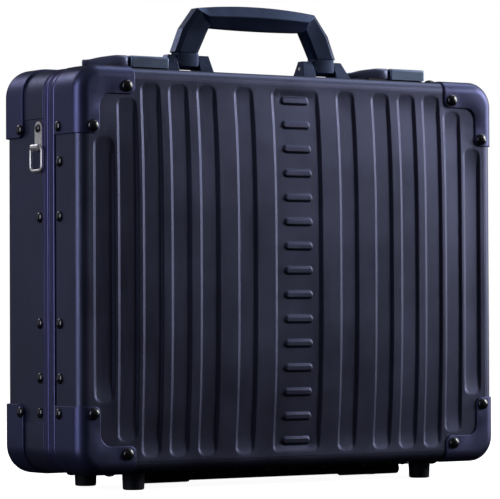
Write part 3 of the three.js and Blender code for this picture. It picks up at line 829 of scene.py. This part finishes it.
def tab_line(back, thick, top, loop_x, loop_z):
    """The tab's section as pairs of outer and inner points, from the top down and round the roll."""
    line = [((back + thick, z), (back, z)) for z in (top, (top + loop_z) / 2, loop_z + 4.4)]
    line.append(((back + thick + 0.05, loop_z + 2.2), (back, loop_z + 1.5)))
    for i in range(13):
        a = radians(168 + i * 22.5)
        line.append(tuple((loop_x + r * cos(a), loop_z + r * sin(a)) for r in (1.9, 3.1)))
    return line


def build_tab(where, side):
    """The riveted tab whose lower end is rolled round the ring."""
    node = "strap_tab_" + where
    low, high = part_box(node)
    y, half = (low.y + high.y) / 2 / MM, (high.y - low.y) / 2 / MM
    back, thick = HALF_W + 0.6, 1.2
    top = high.z / MM - half
    bm = bmesh.new()

    def point(x, y, z):
        return bm.verts.new((side * x * MM, y * MM, z * MM))

    rows = []
    for (ox, oz), (ix, iz) in tab_line(back, thick, top, back + 3.1, low.z / MM + 3.1):
        rows.append([point(ox, y - half, oz), point(ox, y + half, oz),
                     point(ix, y + half, iz), point(ix, y - half, iz)])
    for first, second in zip(rows, rows[1:]):
        bridge(bm, first, second)
    bm.faces.new(rows[-1])
    turns = [pi * k / 12 for k in range(1, 12)]
    outer = [point(back + thick, y + half * cos(a), top + half * sin(a)) for a in turns]
    inner = [point(back, y + half * cos(a), top + half * sin(a)) for a in turns]
    outer = [rows[0][1]] + outer + [rows[0][0]]
    inner = [rows[0][2]] + inner + [rows[0][3]]
    bm.faces.new(outer)
    bm.faces.new(inner)
    for k in range(len(outer) - 1):
        bm.faces.new((outer[k], outer[k + 1], inner[k + 1], inner[k]))
    agree(bm)
    finish_mesh(node + "_plate", bm, NICKEL, "base", (node,), 35)
    bm = bmesh.new()
    dome(bm, (side * (back + thick), y, CENTRE_Z + 124.3), (side, 0, 0), *TAB_RIVET)
    finish_mesh(node + "_rivet", bm, BLACK_RIVET, "base", (), 50)


def build_foot(half, where):
    """A moulded foot with a rounded tread and a screw recess."""
    node = "%s_foot_%s" % (half.name, where)
    low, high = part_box(node)
    x, y, top = (low.x + high.x) / 2 / MM, (low.y + high.y) / 2 / MM, high.z / MM
    profile = ((2.6, 2.2), (3.0, 0.7), (3.3, 0.1), (7.6, 0.0), (8.6, 0.25), (9.2, 0.8), (9.5, 1.6),
               (10.15, top - 1.2), (10.5, top - 0.6), (10.5, top))
    bm = bmesh.new()
    rings = []
    for r, z in profile:
        rings.append([bm.verts.new(((x + r * cos(t)) * MM, (y + r * sin(t)) * MM, z * MM))
                      for t in circle(40)])
    for first, second in zip(rings, rings[1:]):
        bridge(bm, first, second)
    bm.faces.new(rings[0][::-1])
    bm.faces.new(rings[-1])
    agree(bm)
    finish_mesh(node + "_moulded", bm, RUBBER, half.name, (node,), 30)


# ---------------------------------------------------------------- inside

def build_lining(half):
    """The cloth that lines a half: a skirt down the walls and a flat back."""
    inset, r, steps, depth = 3.4, 9.0, 6, half.depth
    rows = [(inset, -half.rail - 0.4), (inset, -half.rail - 6), (inset + 0.3, 12 - depth)]
    for i in range(steps + 1):
        a = pi / 2 * i / steps
        rows.append((inset + 0.3 + r * (1 - cos(a)), 3.6 + r * (1 - sin(a)) - depth))
    verts, faces = [], []
    index = [add_run(verts, [half.place(x, y, z) for x, z in outline(back)]) for back, y in rows]
    index.append(add_run(verts, [half.place(x * 0.9, 3.7 - depth, z * 0.88) for x, z in outline(25)]))
    for first, second in zip(index, index[1:]):
        faces += strip(first, second)
    faces.append(tuple(index[-1]))
    bm = mesh_of(verts, faces)
    agree(bm)
    node = half.name + "_lining"
    piece = finish_mesh(node + "_cloth", bm, CLOTH, half.name, (node,), 60)
    wall = piece.modifiers.new("cloth", "SOLIDIFY")
    wall.thickness, wall.offset = 0.8 * MM, 0


def build_pad(half):
    """A padded panel, quilted into squares that swell between their seams."""
    node, columns, rows, cuts = half.name + "_pad", 8, 6, 8
    low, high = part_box(node)
    x0, x1, z0, z1 = low.x / MM, high.x / MM, low.z / MM - CENTRE_Z, high.z / MM - CENTRE_Z
    back, thick = 3.9 - half.depth, (high.y - low.y) / MM - 0.6
    nx, nz = columns * cuts, rows * cuts
    bm = bmesh.new()
    grid = []
    for j in range(nz + 1):
        line = []
        for i in range(nx + 1):
            u, v = i / nx, j / nz
            swell = abs(sin(pi * u * columns) * sin(pi * v * rows)) ** 0.45
            border = min(1.0, min(u, 1 - u) * nx / 2.2, min(v, 1 - v) * nz / 2.2)
            y = back + thick * (0.25 + 0.30 * border ** 0.5 + 0.45 * swell * border)
            line.append(bm.verts.new(half.place(x0 + (x1 - x0) * u, y, z0 + (z1 - z0) * v)))
        grid.append(line)
    for j in range(nz):
        for i in range(nx):
            bm.faces.new((grid[j][i], grid[j][i + 1], grid[j + 1][i + 1], grid[j + 1][i]))
    edge = grid[0][:-1] + [row[-1] for row in grid[:-1]] + grid[-1][:0:-1] + [row[0] for row in grid[:0:-1]]
    behind = [bm.verts.new((v.co.x, (PART_Y + half.side * back) * MM, v.co.z)) for v in edge]
    bridge(bm, edge, behind)
    bm.faces.new(behind)
    agree(bm)
    finish_mesh(node + "_quilted", bm, PAD_CLOTH, half.name, (node,), 60)


# ---------------------------------------------------------------- the case

for half in (LID, BASE):
    build_shell(half)
    build_rail(half)
    build_lining(half)
    build_rivets(half)
    build_hinge_rivets(half)
    for corner, sx, sz in CORNERS:
        build_guard(half, corner, sx, sz)
    for where, _ in LEFT_RIGHT:
        build_foot(half, where)
for corner, sx, sz in CORNERS:
    build_cover(corner, sx, sz)
build_pad(BASE)
build_pad(LID)
build_handle()
for where, side in LEFT_RIGHT:
    bevelled("handle_bracket_" + where, "base", GRIP, 0.7)
    build_ring(where)
    build_tab(where, side)
    build_lever(where)
    build_housing(where)
    bevelled("release_button_" + where, "release_button_" + where, LATCH, 0.4)
    bevelled("latch_plate_" + where, "base", DARK, 0.3)
    for number in (1, 2, 3):
        build_dial(where, number)


def paint(mesh, mat):
    mesh.materials.clear()
    mesh.materials.append(mat)


# The CAD nodes that show as they are
for node, made in NODES.items():
    if node.startswith(("hinge_leaf", "latch_strike")):
        paint(made.data, DARK)
    elif "pin" in node or "axle" in node:
        paint(made.data, NICKEL)


# ---------------------------------------------------------------- studio

CAMERA_AT = (-1.57853, -2.29841, 0.15467)
CAMERA_TURN = (-34.393, 1.191, -0.248)  # azimuth, elevation and roll in degrees


def floor():
    """White paper under the case, which lights nothing."""
    mesh = bpy.data.meshes.new("floor")
    mesh.from_pydata([(-12, -12, 0), (12, -12, 0), (12, 12, 0), (-12, 12, 0)], [], [(0, 1, 2, 3)])
    made = bpy.data.objects.new("floor", mesh)
    bpy.context.scene.collection.objects.link(made)
    mesh.materials.append(material("floor_paper", (0.9, 0.9, 0.9), 0.8, 0.0,
                                   Emission_Color=(1, 1, 1, 1), Emission_Strength=0.95))
    made.visible_diffuse = made.visible_glossy = False


def lamp(name, at, target, size, power, color=(1, 1, 1)):
    data = bpy.data.lights.new(name, "AREA")
    data.shape, data.size, data.size_y = "RECTANGLE", size[0], size[1]
    data.energy, data.color = power, color
    made = bpy.data.objects.new(name, data)
    bpy.context.scene.collection.objects.link(made)
    made.location = at
    made.rotation_euler = (Vector(target) - Vector(at)).to_track_quat("-Z", "Y").to_euler()


def world():
    """White behind the case; the light on it is dim below, brighter above."""
    made = bpy.data.worlds.new("studio")
    bpy.context.scene.world = made
    made.use_nodes = True
    tree = made.node_tree
    tree.nodes.clear()
    new = tree.nodes.new
    out, mix, path = new("ShaderNodeOutputWorld"), new("ShaderNodeMixShader"), new("ShaderNodeLightPath")
    soft, white = new("ShaderNodeBackground"), new("ShaderNodeBackground")
    where, split, shade = new("ShaderNodeTexCoord"), new("ShaderNodeSeparateXYZ"), new("ShaderNodeValToRGB")
    lift = new("ShaderNodeMapRange")
    tree.links.new(where.outputs["Generated"], split.inputs[0])
    tree.links.new(split.outputs["Z"], lift.inputs["Value"])
    lift.inputs["From Min"].default_value = -1
    tree.links.new(lift.outputs["Result"], shade.inputs["Fac"])
    steps = shade.color_ramp.elements
    steps[0].position, steps[0].color = 0.40, (0.035, 0.038, 0.05, 1)
    steps[1].position, steps[1].color = 1.0, (1.0, 1.0, 1.05, 1)
    middle = steps.new(0.56)
    middle.color = (0.16, 0.165, 0.19, 1)
    tree.links.new(shade.outputs["Color"], soft.inputs["Color"])
    soft.inputs["Strength"].default_value = 0.1
    white.inputs["Strength"].default_value = 1.0
    white.inputs["Color"].default_value = (1, 1, 1, 1)
    tree.links.new(path.outputs["Is Camera Ray"], mix.inputs["Fac"])
    tree.links.new(soft.outputs[0], mix.inputs[1])
    tree.links.new(white.outputs[0], mix.inputs[2])
    tree.links.new(mix.outputs[0], out.inputs["Surface"])


def camera():
    """A long lens, low and to the left of the lid, turned a little about its own axis."""
    data = bpy.data.cameras.new("camera")
    data.lens, data.sensor_width, data.clip_end = 219.31, 36, 50
    data.shift_x, data.shift_y = -0.0023, -0.0009
    made = bpy.data.objects.new("camera", data)
    bpy.context.scene.collection.objects.link(made)
    az, el, roll = (radians(a) for a in CAMERA_TURN)
    ahead = Vector((-sin(az) * cos(el), cos(az) * cos(el), sin(el)))
    right = ahead.cross(Vector((0, 0, 1))).normalized()
    up = right.cross(ahead)
    across = right * cos(roll) + up * sin(roll)
    upward = -right * sin(roll) + up * cos(roll)
    turn = Matrix((across, upward, -ahead)).transposed().to_4x4()
    made.matrix_world = Matrix.Translation(CAMERA_AT) @ turn
    bpy.context.scene.camera = made


floor()
world()
camera()
# Lamps: name, place, target, size, watts and colour
lamp("key", (2.3, -0.55, 0.95), (0, 0, 0.25), (1.5, 1.7), 34)
lamp("front_right", (2.15, -1.25, 1.15), (0.15, 0, 0.32), (0.6, 0.7), 17)
lamp("left_strip", (-2.0, -0.15, 0.6), (-0.15, 0, 0.25), (0.95, 1.6), 16, (0.84, 0.86, 1.0))
lamp("back_left", (-1.3, 1.7, 0.5), (-0.2, 0, 0.2), (1.2, 1.4), 1.2, (0.92, 0.93, 1.0))
lamp("back_top", (-0.7, 2.0, 1.6), (0, 0, 0.35), (0.9, 0.6), 5, (0.88, 0.88, 1.0))
lamp("top", (1.3, 0.15, 2.1), (0, 0, 0.35), (1.2, 1.2), 11, (0.78, 0.88, 1.0))
bpy.context.scene.view_settings.view_transform = "Standard"
